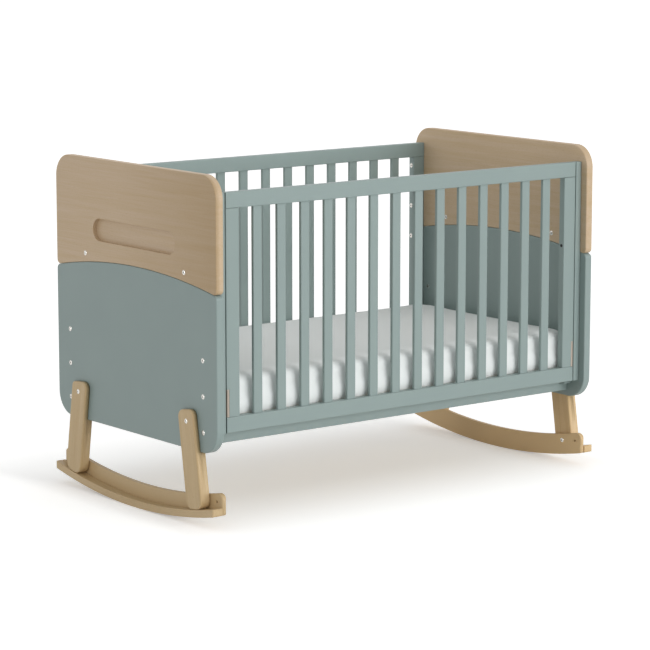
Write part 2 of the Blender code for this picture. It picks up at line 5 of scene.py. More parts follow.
import bpy
import numpy as np
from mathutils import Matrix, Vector


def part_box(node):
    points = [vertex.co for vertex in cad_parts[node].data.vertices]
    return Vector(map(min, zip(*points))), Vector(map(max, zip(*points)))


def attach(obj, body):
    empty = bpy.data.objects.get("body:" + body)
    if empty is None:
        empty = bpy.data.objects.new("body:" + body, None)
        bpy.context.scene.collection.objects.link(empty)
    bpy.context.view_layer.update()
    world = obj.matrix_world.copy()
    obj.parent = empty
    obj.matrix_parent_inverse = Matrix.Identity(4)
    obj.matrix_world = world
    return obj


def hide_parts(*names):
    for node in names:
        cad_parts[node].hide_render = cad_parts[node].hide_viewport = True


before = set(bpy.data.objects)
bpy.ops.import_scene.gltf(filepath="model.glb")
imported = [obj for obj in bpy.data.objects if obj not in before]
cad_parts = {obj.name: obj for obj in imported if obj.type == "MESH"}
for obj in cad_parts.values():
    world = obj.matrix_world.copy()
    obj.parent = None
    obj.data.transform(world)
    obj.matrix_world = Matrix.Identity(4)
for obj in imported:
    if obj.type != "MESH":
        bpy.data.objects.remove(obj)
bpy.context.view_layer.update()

# The photographer's place: far off behind a long lens, well above the side rails, and turned so that
# the head end shows its outer face and the foot end its inner one.
CAMERA_PLACE = (-4.8785, -6.2944, 1.7707)
CAMERA_TURN_DEGREES = -37.716
CAMERA_DROP_DEGREES = 9.418
CAMERA_REACH = 200.0
LENS_MM = 150.77
SENSOR_MM = 36.0


def put_in(name, data):
    """Object that holds a camera, lamp or mesh, put into the scene."""
    made = bpy.data.objects.new(name, data)
    bpy.context.scene.collection.objects.link(made)
    return made


camera = put_in("camera", bpy.data.cameras.new("camera"))
camera.data.lens = LENS_MM
camera.data.sensor_width = SENSOR_MM
camera.data.clip_end = CAMERA_REACH
camera.location = CAMERA_PLACE
camera.rotation_euler = (math.radians(90 - CAMERA_DROP_DEGREES), 0, math.radians(CAMERA_TURN_DEGREES))
bpy.context.scene.camera = camera
bpy.context.scene.view_settings.view_transform = "Standard"


# The studio: a white room whose walls give soft light. A large low lamp stands in front of the drop
# side, a little to the right, with weaker ones high up and beside the head end. A square lamp hangs
# over the mattress and lights the inside of the foot end.
ROOM_STRENGTH = 0.56
LAMPS = (
    # name, turn and height of where it shines from in degrees, soft angle, strength
    ("front_lamp", 13, 6, 40, 2.05),
    ("high_lamp", 40, 30, 40, 0.10),
    ("head_lamp", -98, 3, 6, 0.26),
)
OVER_LAMP_PLACE = (-0.25, 0.08, 1.80)
OVER_LAMP_AIM = (0.69, 0.02, 0.50)
OVER_LAMP_SIZE = 0.9
OVER_LAMP_WATTS = 1.75


def linear(hex_colour):
    """Linear colour of an sRGB code: c / 12.92 up to 0.04045, else ((c + 0.055) / 1.055) ^ 2.4."""
    shares = np.array([int(hex_colour[place : place + 2], 16) for place in (0, 2, 4)]) / 255
    turned = np.where(shares <= 0.04045, shares / 12.92, ((shares + 0.055) / 1.055) ** 2.4)
    return (*turned.tolist(), 1.0)


def set_sockets(owner, node, sockets):
    """Gives a node's sockets their values. Where the value is a socket, it is linked from there."""
    for name, value in sockets.items():
        if isinstance(value, bpy.types.NodeSocket):
            owner.node_tree.links.new(value, node.inputs[name])
        else:
            node.inputs[name].default_value = value


def add_node(owner, kind, sockets=None, **settings):
    """Node of a kind with its settings, and its sockets by name or number. On a Mix node of colours
    the numbers 0, 6 and 7 are the share and the two colours, and output 2 is the mixed one."""
    node = owner.node_tree.nodes.new("ShaderNode" + kind)
    for name, value in settings.items():
        setattr(node, name, value)
    set_sockets(owner, node, sockets or {})
    return node


def seen_or_mirrored(owner):
    """1 for rays from the camera, a mirror or through glass, and 0 for rays that gather light."""
    path = add_node(owner, "LightPath")
    seen = path.outputs["Is Camera Ray"]
    for other in ("Is Glossy Ray", "Is Transmission Ray"):
        seen = add_node(owner, "Math", {0: seen, 1: path.outputs[other]}, operation="MAXIMUM").outputs[0]
    return seen


room = bpy.data.worlds.new("room")
room.use_nodes = True
room.node_tree.nodes.clear()
walls, white_walls = (
    add_node(room, "Background", {"Color": (1, 1, 1, 1), "Strength": strength}).outputs[0]
    for strength in (ROOM_STRENGTH, 1.0)
)
shown = add_node(room, "MixShader", {0: seen_or_mirrored(room), 1: walls, 2: white_walls})
add_node(room, "OutputWorld", {"Surface": shown.outputs[0]})
bpy.context.scene.world = room

for name, turn, height, soft_angle, strength in LAMPS:
    lamp = put_in(name, bpy.data.lights.new(name, "SUN"))
    lamp.data.angle = math.radians(soft_angle)
    lamp.data.energy = strength
    lamp.rotation_euler = (math.radians(90 - height), 0, math.radians(turn))

over_lamp = put_in("over_lamp", bpy.data.lights.new("over_lamp", "AREA"))
over_lamp.data.size = OVER_LAMP_SIZE
over_lamp.data.energy = OVER_LAMP_WATTS
over_lamp.location = OVER_LAMP_PLACE
aim = Vector(OVER_LAMP_AIM) - over_lamp.location
over_lamp.rotation_euler = aim.to_track_quat("-Z", "Y").to_euler()


# The floor: seamless white paper that keeps the cot's soft shadow. Seen straight on it is lifted to
# the white of the walls, less where the shadow lies, and it gives no more light than paper does.
FLOOR_HALF_SIZE = 60.0
PAPER = "F2F2F1"
PAPER_LIFT = 0.32
PAPER_FAR_LIFT = 0.52
SHADOW_MIDDLE_Y = 0.15
SHADOW_HALF_WIDTHS = (0.22, 0.65)
SHADOW_HALF_LENGTHS = (0.70, 0.80)

paper = bpy.data.materials.new("seamless_paper")
paper.use_nodes = True
paper.node_tree.nodes.clear()
plain = add_node(paper, "BsdfDiffuse", {"Color": linear(PAPER)}).outputs[0]
plan = add_node(paper, "SeparateXYZ", {0: add_node(paper, "TexCoord").outputs["Object"]})
beside = add_node(paper, "Math", {0: plan.outputs["Y"], 1: SHADOW_MIDDLE_Y}, operation="SUBTRACT")
away = []
for distance, (near, far) in (
    (plan.outputs["X"], SHADOW_HALF_LENGTHS),
    (beside.outputs[0], SHADOW_HALF_WIDTHS),
):
    distance = add_node(paper, "Math", {0: distance}, operation="ABSOLUTE")
    span = {"Value": distance.outputs[0], "From Min": near, "From Max": far}
    away.append(add_node(paper, "MapRange", span).outputs[0])
furthest = add_node(paper, "Math", {0: away[0], 1: away[1]}, operation="MAXIMUM")
lift = {"Value": furthest.outputs[0], "To Min": PAPER_LIFT, "To Max": PAPER_FAR_LIFT}
strength = add_node(paper, "MapRange", lift).outputs[0]
glow = add_node(paper, "Emission", {"Color": (1, 1, 1, 1), "Strength": strength})
lifted = add_node(paper, "AddShader", {0: plain, 1: glow.outputs[0]}).outputs[0]
shown = add_node(paper, "MixShader", {0: seen_or_mirrored(paper), 1: plain, 2: lifted})
add_node(paper, "OutputMaterial", {"Surface": shown.outputs[0]})

floor_mesh = bpy.data.meshes.new("floor")
floor_mesh.from_pydata(
    [(x * FLOOR_HALF_SIZE, y * FLOOR_HALF_SIZE, 0) for x, y in ((-1, -1), (1, -1), (1, 1), (-1, 1))],
    [],
    [(0, 1, 2, 3)],
)
floor_mesh.materials.append(paper)
put_in("floor", floor_mesh)


# The paint of the sides, the end panels and the mattress base: two coats of satin lacquer, sprayed and
# rubbed down, so the grain is filled. To the eye it is an even soft sheen, with a trace of the spray.
LACQUER = "8D9D9A"
LACQUER_SHADE = "889896"
LACQUER_CLOUD_MM = 140.0
LACQUER_SKIN_MM = 2.2
LACQUER_SKIN_DEPTH_MM = 0.035
LACQUER_ROUGHNESS = 0.42
LACQUER_IOR = 1.5


def new_material(name):
    """A named material, its shader, and a point's place in the bed's axes for the patterns on it."""
    material = bpy.data.materials.new(name)
    material.use_nodes = True
    place = add_node(material, "TexCoord").outputs["Object"]
    return material, material.node_tree.nodes["Principled BSDF"], place


def coat(material, *nodes):
    """Gives CAD solids that keep their own shape a material."""
    for node in nodes:
        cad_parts[node].data.materials.clear()
        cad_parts[node].data.materials.append(material)


lacquer, shader, place = new_material("satin_lacquer")
cloud = add_node(lacquer, "TexNoise", {"Vector": place, "Scale": 1000 / LACQUER_CLOUD_MM, "Detail": 2})
tones = {0: cloud.outputs["Fac"], 6: linear(LACQUER), 7: linear(LACQUER_SHADE)}
tone = add_node(lacquer, "Mix", tones, data_type="RGBA")
skin = add_node(lacquer, "TexNoise", {"Vector": place, "Scale": 1000 / LACQUER_SKIN_MM, "Detail": 2})
relief = {"Height": skin.outputs["Fac"], "Distance": LACQUER_SKIN_DEPTH_MM / 1000, "Strength": 0.5}
set_sockets(
    lacquer,
    shader,
    {
        "Base Color": tone.outputs[2],
        "Roughness": LACQUER_ROUGHNESS,
        "IOR": LACQUER_IOR,
        "Normal": add_node(lacquer, "Bump", relief).outputs[0],
    },
)
coat(lacquer, "base_front_rail", "base_back_rail", "base_head_rail", "base_foot_rail")


# The end panels: fibreboard 25 mm thick, with an arched top edge, round lower corners and edges
# rounded by a cutter, under the same lacquer. They stand on the legs' shoulders.
ENDS = (("head", -1), ("foot", 1))
ARCH_RISE = 0.038
ARCH_CORNER_RADIUS = 0.014
FOOT_CORNER_RADIUS = 0.068
END_EDGE_ROUNDING = 0.0036


def rounded_outline(corners, radii, steps=12):
    """Closed outline through corners, each rounded by its own radius, with its outward normals.

    A corner whose edges turn by angle t is left r * tan(t / 2) before it, and the arc about its
    centre runs in equal steps. A corner with radius 0 keeps its point, with the mean normal.
    """
    corners = np.asarray(corners, float)
    before, after = np.roll(corners, 1, 0), np.roll(corners, -1, 0)
    points, normals = [], []
    for corner, last, following, radius in zip(corners, before, after, radii):
        arriving = (corner - last) / np.linalg.norm(corner - last)
        leaving = (following - corner) / np.linalg.norm(following - corner)
        first = np.arctan2(-arriving[0], arriving[1])
        turn = np.arctan2(arriving[0] * leaving[1] - arriving[1] * leaving[0], arriving @ leaving)
        if radius == 0:
            angle = np.array([first + turn / 2])
            centre = corner[None]
        else:
            angle = first + turn * np.linspace(0, 1, steps + 1)
            start = corner - arriving * radius * np.tan(turn / 2)
            centre = start - radius * np.array([np.cos(first), np.sin(first)])
        arm = np.stack([np.cos(angle), np.sin(angle)], 1)
        points.append(centre + radius * arm)
        normals.append(arm)
    return np.concatenate(points), np.concatenate(normals)


def arch(half_width, crown_height, steps=48):
    """Points of the arch from its back end to its front end: part of a circle through both ends and
    the crown, whose radius is (w * w + h * h) / (2 * h) for half width w and rise h."""
    radius = (half_width**2 + ARCH_RISE**2) / (2 * ARCH_RISE)
    angle = np.linspace(1, -1, steps + 1) * np.arcsin(half_width / radius)
    return np.stack([radius * np.sin(angle), crown_height - radius * (1 - np.cos(angle))], 1)


def end_outline(arched, square, radius):
    """Outline with normals of an arched edge and the two corners opposite, which have the radius. The
    points beside the arch's ends are left out, to make room for its own round corners."""
    arched = np.delete(arched, [1, len(arched) - 2], 0)
    radii = [ARCH_CORNER_RADIUS, *[0] * (len(arched) - 2), ARCH_CORNER_RADIUS, radius, radius]
    return rounded_outline(np.concatenate([arched, square]), radii, 24)


def slab(outline, normals, low, high, rounding, steps=5):
    """Rings of a slab: the outline drawn from low to high, drawn in along its normals at both ends
    by rounding * (1 - sin a) at the depth rounding * (1 - cos a)."""
    angle = np.linspace(0, np.pi / 2, steps + 1)
    inset = rounding * (1 - np.sin(angle))
    depth = rounding * (1 - np.cos(angle))
    inset = np.concatenate([inset, inset[::-1]])
    level = np.concatenate([low + depth, high - depth[::-1]])
    ring = outline[None] - inset[:, None, None] * normals[None]
    return np.concatenate([ring, np.broadcast_to(level[:, None, None], (*ring.shape[:2], 1))], 2)


def ring_faces(rings, count, start=0):
    """Quads between neighbouring closed rings of the same count of points, numbered ring by ring."""
    ring = np.arange(rings - 1)[:, None] * count + start
    here = np.arange(count)[None]
    after = (here + 1) % count
    quads = np.stack([ring + here, ring + after, ring + count + after, ring + count + here], -1)
    return quads.reshape(-1, 4).tolist()


def facing(vertices, faces):
    """The faces turned over where the closed mesh's volume is negative: the sum of a . (b x c) / 6
    over the triangles that each face fans out into."""
    points = np.asarray(vertices).reshape(-1, 3)
    volume = 0.0
    for count in {len(face) for face in faces}:
        fans = points[np.array([face for face in faces if len(face) == count])]
        volume += np.einsum("ij,ikj->", fans[:, 0], np.cross(fans[:, 1:-1], fans[:, 2:]))
    return faces if volume > 0 else [face[::-1] for face in faces]


def shell(rings):
    """Faces of a closed shell, outward: quads between its rings and one face on the first and last."""
    count, total = rings.shape[1], rings.size // 3
    ends = [list(range(count))[::-1], list(range(total - count, total))]
    return facing(rings, ring_faces(len(rings), count) + ends)


def keep_flat(piece):
    """Weights the normals by the faces' areas, so that large faces look flat beside round edges."""
    piece.modifiers.new("flat_faces", "WEIGHTED_NORMAL").keep_sharp = True


def add_piece(name, vertices, faces, material, body, replaces=(), grain=None):
    """Piece of a mesh in its place, shaded smooth with the large faces kept flat.

    The grain is a point's place along, across and into the wood, for the materials that need it.
    """
    mesh = bpy.data.meshes.new(name)
    mesh.from_pydata(np.asarray(vertices).reshape(-1, 3).tolist(), [], faces)
    mesh.validate()
    if grain is not None:
        attribute = mesh.attributes.new("grain", "FLOAT_VECTOR", "POINT")
        attribute.data.foreach_set("vector", np.asarray(grain, np.float32).ravel())
    mesh.shade_smooth()
    mesh.materials.append(material)
    piece = put_in(name, mesh)
    keep_flat(piece)
    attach(piece, body)
    if replaces:
        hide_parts(*replaces)
    return piece


def upright(rings):
    """Rings given across, up and along X, turned to X, Y, Z."""
    return rings[..., [2, 0, 1]]


for end, _ in ENDS:
    low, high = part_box(f"{end}_panel")
    outline, normals = end_outline(
        arch(high.y, high.z), [(low.y, low.z), (high.y, low.z)], FOOT_CORNER_RADIUS
    )
    rings = upright(slab(outline, normals, low.x, high.x, END_EDGE_ROUNDING))
    add_piece(
        f"{end}_painted_panel", rings, shell(rings), lacquer, "cot_frame", [f"{end}_panel"]
    )


# The bars of the sides: rails, stiles, slats and the tracks beside the drop side, of planed beech with
# rounded edges. They butt with thin shadow gaps. The drop side's stiles are grooved for the runners.
BAR_ROUNDING = 0.0024
SLAT_ROUNDING = 0.0030
BAR_END_EASING = 0.0008
JOINT_SET_IN = 0.0006
TRACK_SET_IN = 0.0005
RUNNER_GROOVE_WIDTH = 0.0086
SEAT_GAP = 0.0003
ACCESS_HOLE_RADIUS = 0.0040
ACCESS_HOLE_DEPTH = 0.014
ACCESS_HOLE_HEIGHT = 0.677
CUT_OVERRUN = 0.002


def bar(low, high, rounding, along):
    """Rings of a bar between two corners: a rounded section across it, drawn along one axis."""
    across, up = (axis for axis in range(3) if axis != along)
    section = [
        (low[across], low[up]),
        (high[across], low[up]),
        (high[across], high[up]),
        (low[across], high[up]),
    ]
    outline, normals = rounded_outline(section, [rounding] * 4, 5)
    drawn = slab(outline, normals, low[along], high[along], BAR_END_EASING, 3)
    rings = np.empty_like(drawn)
    rings[..., [across, up, along]] = drawn
    return rings


def box_rings(low, high):
    """The lower and the upper ring of a box."""
    ring = np.array([(low[0], low[1]), (high[0], low[1]), (high[0], high[1]), (low[0], high[1])])
    return np.stack([np.column_stack([ring, np.full(4, level)]) for level in (low[2], high[2])])


def circle(count):
    """Angles once round and the points cos a, sin a of a circle."""
    around = np.linspace(0, 2 * np.pi, count, endpoint=False)
    return around, np.stack([0 * around, np.cos(around), np.sin(around)], 1)


def drum(start, end, radius):
    """Rings of a round bar along X from start to end."""
    rim = radius * circle(32)[1]
    return np.stack([rim + np.asarray(start), rim + np.asarray(end)])


def out_and_in(node, outward):
    """X of a solid's face away from the bed's middle, and of its face towards it."""
    low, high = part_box(node)
    return (low.x, high.x) if outward < 0 else (high.x, low.x)


def applied(piece):
    """Gives the piece the mesh that its modifiers make, and takes them off."""
    ready = bpy.data.meshes.new_from_object(piece.evaluated_get(bpy.context.evaluated_depsgraph_get()))
    piece.modifiers.clear()
    piece.data = ready


def cut_away(piece, *shapes):
    """Takes closed shapes, given as rings, out of a piece."""
    piece.modifiers.clear()
    for rings in shapes:
        mesh = bpy.data.meshes.new("cutter")
        mesh.from_pydata(rings.reshape(-1, 3).tolist(), [], shell(rings))
        cutter = put_in("cutter", mesh)
        cut = piece.modifiers.new("cut", "BOOLEAN")
        cut.object = cutter
        cut.solver = "EXACT"
        applied(piece)
        bpy.data.objects.remove(cutter)
    keep_flat(piece)


bars = [
    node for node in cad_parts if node.startswith(("front_", "back_")) or node.endswith("_track")
]
for name in bars:
    low, high = (np.array(corner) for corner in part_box(name))
    along = int(np.argmax(high - low))
    body = "drop_side" if name.startswith("front_") else "cot_frame"
    if name.endswith("_rail"):
        low[0] += JOINT_SET_IN
        high[0] -= JOINT_SET_IN
    elif name == "head_side_track":
        high[0] -= TRACK_SET_IN
    elif name == "foot_side_track":
        low[0] += TRACK_SET_IN
    rings = bar(low, high, SLAT_ROUNDING if "_slat_" in name else BAR_ROUNDING, along)
    made = add_piece(f"painted_{name}", rings, shell(rings), lacquer, body, [name])
    if name.startswith("front_") and name.endswith("_stile"):
        # The groove opens towards the track and holds the guide block, the hole opens to the slats
        end, outward = ENDS[0] if low[0] < 0 else ENDS[1]
        outer_x, inner_x = out_and_in(name, outward)
        block_x = out_and_in(f"{end}_guide_block", outward)[1]
        block_low, block_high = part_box(f"{end}_guide_block")
        left, right = sorted((outer_x + outward * CUT_OVERRUN, block_x - outward * SEAT_GAP))
        middle = (low[1] + high[1]) / 2
        notch = (
            (left, low[1] - CUT_OVERRUN, block_low.z - SEAT_GAP),
            (right, high[1] + CUT_OVERRUN, block_high.z + SEAT_GAP),
        )
        groove = (
            (left, middle - RUNNER_GROOVE_WIDTH / 2, block_high.z - SEAT_GAP),
            (right, middle + RUNNER_GROOVE_WIDTH / 2, high[2] + CUT_OVERRUN),
        )
        hole = (
            (inner_x - outward * CUT_OVERRUN, middle, ACCESS_HOLE_HEIGHT),
            (inner_x + outward * ACCESS_HOLE_DEPTH, middle, ACCESS_HOLE_HEIGHT),
        )
        cut_away(made, box_rings(*notch), box_rings(*groove), drum(*hole, ACCESS_HOLE_RADIUS))


# The beech boards over the panels: solid beech glued up from staves, planed and sanded, under clear
# satin lacquer. To the eye it is a quiet long figure with fine streaks and beech's small dark flecks.
# The head end has a shallow oblong recess with round ends, cut by a router.
BEECH_PALE = "C9B297"
BEECH_DEEP = "BFA580"
BEECH_FLECK = "A1825F"
BEECH_HEARTWOOD = "E8E3D6"
# Where the heartwood starts and is whole, on each axis
HEARTWOOD_SPANS = {"Y": (0.08, -0.37), "X": (-0.676, -0.684), "Z": (0.5, 0.6)}
BEECH_FIGURE_MM = (420.0, 16.0, 26.0)
BEECH_STREAK_MM = (130.0, 2.6, 4.0)
BEECH_FLECK_MM = (9.0, 1.3, 1.3)
BEECH_ROUGHNESS = 0.44
BEECH_IOR = 1.5
BEECH_PORE_DEPTH_MM = 0.03
BOARD_WOOD_PLACE = (7.3, 1.7, 0)
ARCH_GAP = 0.0002
TOP_CORNER_RADIUS = 0.065
RECESS_HALF_LENGTH = 0.205
RECESS_HALF_HEIGHT = 0.0325
RECESS_STRAIGHT = RECESS_HALF_LENGTH - RECESS_HALF_HEIGHT
RECESS_DEPTH = 0.0125
RECESS_RISE = 0.085
RECESS_LIP = 0.0004
RECESS_FOOT_RADIUS = 0.0008


def drawn_out(owner, place, sizes_mm, **settings):
    """Noise on a place divided by real sizes on its three axes, of which one may be far longer."""
    stretched = add_node(owner, "Mapping", {"Vector": place, "Scale": [1000 / size for size in sizes_mm]})
    sockets = {"Vector": stretched.outputs[0], "Scale": 1.0, **settings}
    return add_node(owner, "TexNoise", sockets).outputs["Fac"]


beech, shader, place = new_material("lacquered_beech")
grain = add_node(beech, "Attribute", attribute_name="grain").outputs["Vector"]
figure = drawn_out(beech, grain, BEECH_FIGURE_MM, Detail=3.0, Distortion=0.4)
streak = drawn_out(beech, grain, BEECH_STREAK_MM, Detail=2.0)
fleck = drawn_out(beech, grain, BEECH_FLECK_MM, Detail=1.0)
blended = add_node(beech, "Mix", {0: 0.4, 2: figure, 3: streak}, data_type="FLOAT")
share = add_node(beech, "MapRange", {"Value": blended.outputs[0], "From Min": 0.3, "From Max": 0.7})
tones = {0: share.outputs[0], 6: linear(BEECH_PALE), 7: linear(BEECH_DEEP)}
wood = add_node(beech, "Mix", tones, data_type="RGBA")
wood.name = "wood_tone"
spots = {"Value": fleck, "From Min": 0.60, "From Max": 0.75, "To Max": 0.35}
fleck_share = add_node(beech, "MapRange", spots).outputs[0]
tones = {0: fleck_share, 6: wood.outputs[2], 7: linear(BEECH_FLECK)}
flecked = add_node(beech, "Mix", tones, data_type="RGBA")
# The head end's board is of heartwood towards the front of its outer face, and that is deeper in tone
spot = add_node(beech, "SeparateXYZ", {0: place})
shares = []
for axis, (none, full) in HEARTWOOD_SPANS.items():
    span = {"Value": spot.outputs[axis], "From Min": none, "From Max": full}
    shares.append(add_node(beech, "MapRange", span).outputs[0])
heart_share = shares[0]
for share in shares[1:]:
    heart_share = add_node(beech, "Math", {0: heart_share, 1: share}, operation="MULTIPLY").outputs[0]
tones = {0: heart_share, 6: flecked.outputs[2], 7: linear(BEECH_HEARTWOOD)}
toned = add_node(beech, "Mix", tones, data_type="RGBA", blend_type="MULTIPLY")
relief = {"Height": fleck_share, "Distance": BEECH_PORE_DEPTH_MM / 1000, "Strength": 0.6}
set_sockets(
    beech,
    shader,
    {
        "Base Color": toned.outputs[2],
        "Roughness": BEECH_ROUGHNESS,
        "IOR": BEECH_IOR,
        "Normal": add_node(beech, "Bump", relief, invert=True).outputs[0],
    },
)


def recess_edge(angle):
    """Arms from the oblong's middle to its edge at angles about it, and the directions into it.

    With half height h and half length s between the centres of the round ends, an arm is h / |sin a|
    long on a straight edge, and s * |cos a| + sqrt(h * h - (s * sin a) ^ 2) long on a round end.
    """
    ray = np.stack([np.cos(angle), np.sin(angle)], 1)
    across = np.abs(ray[:, 0])
    on_straight = RECESS_HALF_HEIGHT / np.maximum(np.abs(ray[:, 1]), 1e-9)
    under_root = RECESS_HALF_HEIGHT**2 - (RECESS_STRAIGHT * ray[:, 1]) ** 2
    on_bend = RECESS_STRAIGHT * across + np.sqrt(np.maximum(under_root, 0))
    arm = ray * np.where(on_straight * across <= RECESS_STRAIGHT, on_straight, on_bend)[:, None]
    inward = arm.copy()
    inward[:, 0] -= np.clip(arm[:, 0], -RECESS_STRAIGHT, RECESS_STRAIGHT)
    return arm, inward / -RECESS_HALF_HEIGHT


for end, outward in ENDS:
    low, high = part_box(f"{end}_board")
    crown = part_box(f"{end}_panel")[1].z + ARCH_GAP
    outline, normals = end_outline(
        arch(high.y, crown)[::-1], [(high.y, high.z), (low.y, high.z)], TOP_CORNER_RADIUS
    )
    if end == "head":
        # Points are set by their angle about the recess's middle, on the outline and on the recess
        middle = np.array([0, crown + RECESS_RISE])
        arm = outline - middle
        angle = np.unwrap(np.arctan2(arm[:, 1], arm[:, 0]))
        bend = np.linspace(-np.pi / 2, np.pi / 2, 21)
        tip_arm = RECESS_STRAIGHT + RECESS_HALF_HEIGHT * np.cos(bend)
        tips = np.arctan2(RECESS_HALF_HEIGHT * np.sin(bend), tip_arm)
        every = np.concatenate([angle, tips, tips + np.pi])
        every = np.unique(np.round((every - angle[0]) % (2 * np.pi), 5)) + angle[0]
        loop = np.append(angle, angle[0] + 2 * np.pi)
        outline, normals = (
            np.stack([np.interp(every, loop, np.append(column, column[0])) for column in table.T], 1)
            for table in (outline, normals)
        )
        normals /= np.linalg.norm(normals, axis=1, keepdims=True)
    rings = slab(outline, normals, low.x, high.x, END_EDGE_ROUNDING)
    if end == "head":
        # The recess follows from the last ring, the outer face's edge: lip, wall, foot, floor
        arm, inward = recess_edge(every)
        turn = np.linspace(0, np.pi / 2, 4)
        inset = np.append(RECESS_LIP * (np.sin(turn) - 1), RECESS_FOOT_RADIUS * (1 - np.cos(turn)))
        wall_foot = RECESS_DEPTH - RECESS_FOOT_RADIUS * (1 - np.sin(turn))
        depth = np.append(RECESS_LIP * (1 - np.cos(turn)), wall_foot)
        cut = middle + arm[None] + inset[:, None, None] * inward[None]
        level = np.broadcast_to(low.x + depth[:, None, None], (*cut.shape[:2], 1))
        rings = np.concatenate([rings[::-1], np.concatenate([cut, level], 2)])
    rings = upright(rings)
    in_wood = rings.reshape(-1, 3)[:, [1, 2, 0]] + np.array(BOARD_WOOD_PLACE) * outward
    add_piece(
        f"{end}_beech_board", rings, shell(rings), beech, "cot_frame", [f"{end}_board"], in_wood
    )


# The rockers: two laminated beech strips on one arc under each end, an upright web that the legs are
# screwed to and a ledge that their feet stand on. The ends are rounded by hand. They and the legs are
# cut from yellower timber than the boards. At the foot end their tones are paler, which is painted
# light for faces under the bed that the lamps light too little.
LEG_TONES_WITH_FOOT_LIGHT = {"head": ("CBB38B", "BCA073"), "foot": ("DCC093", "CDAB79")}
ROCKER_RADIUS = 1.900
ROCKER_HALF_LENGTH = 0.399
ROCKER_EDGE_ROUNDING = 0.002
WEB_HEIGHT = 0.062
WEB_CORNER_RADIUS = 0.026
WEB_FOOT_RADIUS = 0.009
WEB_END_ROUNDING = 0.007
WEB_WOOD_PLACE = 3.1
LEDGE_HEIGHT = 0.0215
LEDGE_CORNER_RADIUS = 0.006
LEDGE_FOOT_RADIUS = 0.005
LEDGE_LINE_PLACE = 0.0120
LEDGE_LINE_DEPTH = 0.0024
LEDGE_WOOD_PLACE = 5.9
TIP_HOLE_RADIUS = 0.0036
TIP_HOLE_Y = 0.372
TIP_HOLE_Z = 0.077


def restained(name, pale, deep):
    """The lacquered beech in two other tones: for other timber, for a stain, or paler as painted light."""
    material = beech.copy()
    material.name = name
    set_sockets(material, material.node_tree.nodes["wood_tone"], {6: linear(pale), 7: linear(deep)})
    return material


def fallen_back(distance, radius):
    """How far a round corner has fallen back at a distance from the end, r - sqrt(r^2 - (r - d)^2)."""
    into = np.clip(radius - distance, 0, radius)
    return radius - np.sqrt(np.maximum(radius**2 - into**2, 0))


def rocker_strip(inner, outer, height, foot_radius, upper_radius, inner_radius, outer_radius, lined):
    """Rings of a strip on the arc: at each angle a rounded rectangle in X and height above the arc,
    which falls back at its corners towards both ends. A point at radius r from the arc's middle is
    turned by asin(l / r) / asin(l / R) times its ring's angle, for half length l, so the ends are
    plumb. The line is a V cut at 45 degrees. Gives the rings and their places in the wood."""
    reach = math.asin(ROCKER_HALF_LENGTH / ROCKER_RADIUS)
    corner = max(upper_radius, outer_radius, foot_radius)
    even = np.linspace(0, reach - corner / ROCKER_RADIUS, 32)[1:-1]
    ease = 1 - np.cos(np.linspace(np.pi / 2, 0, 13))
    angle = np.append(even, reach - corner * ease / ROCKER_RADIUS)
    angle = np.concatenate([-angle[::-1], [0], angle])
    distance = (reach - np.abs(angle)) * ROCKER_RADIUS + ROCKER_EDGE_ROUNDING / 8
    lower = fallen_back(distance, foot_radius)
    upper = height - fallen_back(distance, upper_radius)
    left = inner + fallen_back(distance, inner_radius)
    right = outer - fallen_back(distance, outer_radius)
    rings = []
    for turn, low, high, near, far in zip(angle, lower, upper, left, right):
        corners = [(near, low), (far, low), (far, high), (near, high)]
        radii = [ROCKER_EDGE_ROUNDING] * 4
        if lined:
            line = near + LEDGE_LINE_PLACE
            corners[3:3] = [
                (line + LEDGE_LINE_DEPTH, high),
                (line, high - LEDGE_LINE_DEPTH),
                (line - LEDGE_LINE_DEPTH, high),
            ]
            radii[3:3] = [0, 0, 0]
        section, _ = rounded_outline(corners, radii, 4)
        rings.append(np.column_stack([section, np.full(len(section), turn)]))
    rings = np.array(rings)
    radius = ROCKER_RADIUS - rings[..., 1]
    turn = rings[..., 2] * np.arcsin(ROCKER_HALF_LENGTH / radius) / reach
    placed = np.stack([rings[..., 0], radius * np.sin(turn), ROCKER_RADIUS - radius * np.cos(turn)], -1)
    in_wood = np.stack([ROCKER_RADIUS * rings[..., 2], rings[..., 0], rings[..., 1]], -1)
    return placed, in_wood.reshape(-1, 3)


WEB_RADII = (WEB_FOOT_RADIUS, WEB_CORNER_RADIUS, WEB_END_ROUNDING, WEB_END_ROUNDING)
LEDGE_RADII = (LEDGE_FOOT_RADIUS, ROCKER_EDGE_ROUNDING, 0, LEDGE_CORNER_RADIUS)
# The foot end's copy is paler than the head end's: painted light for its faces under the bed
timber = {end: restained(f"{end}_leg_beech", *tones) for end, tones in LEG_TONES_WITH_FOOT_LIGHT.items()}
for end, outward in ENDS:
    for part, height, radii, wood_place in (
        ("web", WEB_HEIGHT, WEB_RADII, WEB_WOOD_PLACE),
        ("ledge", LEDGE_HEIGHT, LEDGE_RADII, LEDGE_WOOD_PLACE),
    ):
        node = f"{end}_rocker_{part}"
        outer, inner = (abs(x) for x in out_and_in(node, outward))
        rings, in_wood = rocker_strip(inner, outer, height, *radii, part == "ledge")
        rings[..., 0] *= outward
        strip = add_piece(
            f"{end}_beech_{part}",
            rings,
            shell(rings),
            timber[end],
            "cot_frame",
            [node],
            in_wood + wood_place * outward,
        )
        if part == "web":
            for hole_y in (-TIP_HOLE_Y, TIP_HOLE_Y):
                through = [
                    (outward * x, hole_y, TIP_HOLE_Z) for x in (inner - CUT_OVERRUN, outer + CUT_OVERRUN)
                ]
                cut_away(strip, drum(*through, TIP_HOLE_RADIUS))


